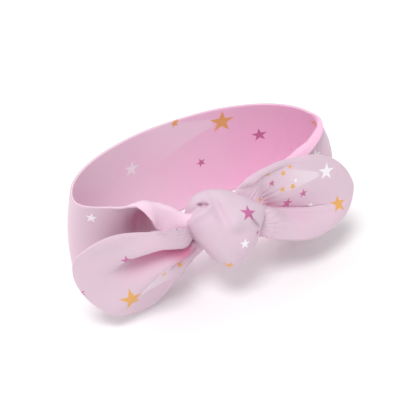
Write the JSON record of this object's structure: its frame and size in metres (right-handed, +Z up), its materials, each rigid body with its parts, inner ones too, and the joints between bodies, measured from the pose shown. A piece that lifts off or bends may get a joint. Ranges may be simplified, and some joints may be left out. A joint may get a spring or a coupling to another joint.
{
  "type": "knotted bow headband",
  "caption": "Stretch fabric headband: a double-layer loop gathered at the front into a knot with two rounded ears.",
  "frame": {"origin": "bottom centre of the whole object's box, on the surface it stands on", "axes": "+X along the bow towards the right ear, +Y from the knot to the back of the head, +Z up"},
  "size_m": [0.18, 0.0952, 0.066],
  "materials": {
    "printed_jersey": "soft jersey with a faint sheen and a scattered star print",
    "inner_jersey": "the same jersey on the inside, looking deeper pink in its own shade",
    "seam_allowance": "turned-in jersey edge"
  },
  "bodies": {
    "front": {"left_front_outer_layer": "printed_jersey", "left_front_inner_layer": "inner_jersey", "left_front_top_seam": "seam_allowance", "left_front_bottom_seam": "seam_allowance", "right_front_outer_layer": "printed_jersey", "right_front_inner_layer": "inner_jersey", "right_front_top_seam": "seam_allowance", "right_front_bottom_seam": "seam_allowance", "knot_wrap": "printed_jersey", "knot_core": "printed_jersey"},
    "back_half": {"back_outer_layer": "printed_jersey", "back_inner_layer": "inner_jersey", "back_top_seam": "seam_allowance", "back_bottom_seam": "seam_allowance"},
    "left_throat": {"left_ear_throat": "printed_jersey"},
    "left_ear": {"left_ear_front_layer": "printed_jersey", "left_ear_back_layer": "inner_jersey", "left_ear_edge_seam": "seam_allowance"},
    "right_throat": {"right_ear_throat": "printed_jersey"},
    "right_ear": {"right_ear_front_layer": "printed_jersey", "right_ear_back_layer": "inner_jersey", "right_ear_edge_seam": "seam_allowance"}
  },
  "joints": [
    {"name": "band_stretch", "type": "slide", "parent": "front", "child": "back_half", "axis": [0, 1, 0], "range_m": [0, 0.03], "stiffness_N_per_m": 60},
    {"name": "left_ear_swing", "type": "hinge", "parent": "front", "child": "left_throat", "pos_m": [-0.02579, -0.03562, 0.043], "axis": [-0.2052, 0.1598, 0.9656], "range_deg": [-10, 50], "stiffness_Nm_per_rad": 0.02},
    {"name": "left_ear_lift", "type": "hinge", "parent": "left_throat", "child": "left_ear", "pos_m": [-0.02579, -0.03562, 0.043], "axis": [0.0332, 0.9871, -0.1564], "range_deg": [-10, 60], "stiffness_Nm_per_rad": 0.02},
    {"name": "right_ear_swing", "type": "hinge", "parent": "front", "child": "right_throat", "pos_m": [0.02521, -0.03262, 0.043], "axis": [-0.0872, -0.4258, -0.9006], "range_deg": [-5, 50], "stiffness_Nm_per_rad": 0.02},
    {"name": "right_ear_lift", "type": "hinge", "parent": "right_throat", "child": "right_ear", "pos_m": [0.02521, -0.03262, 0.043], "axis": [0.0602, -0.9047, 0.4219], "range_deg": [-15, 60], "stiffness_Nm_per_rad": 0.02}
  ]
}
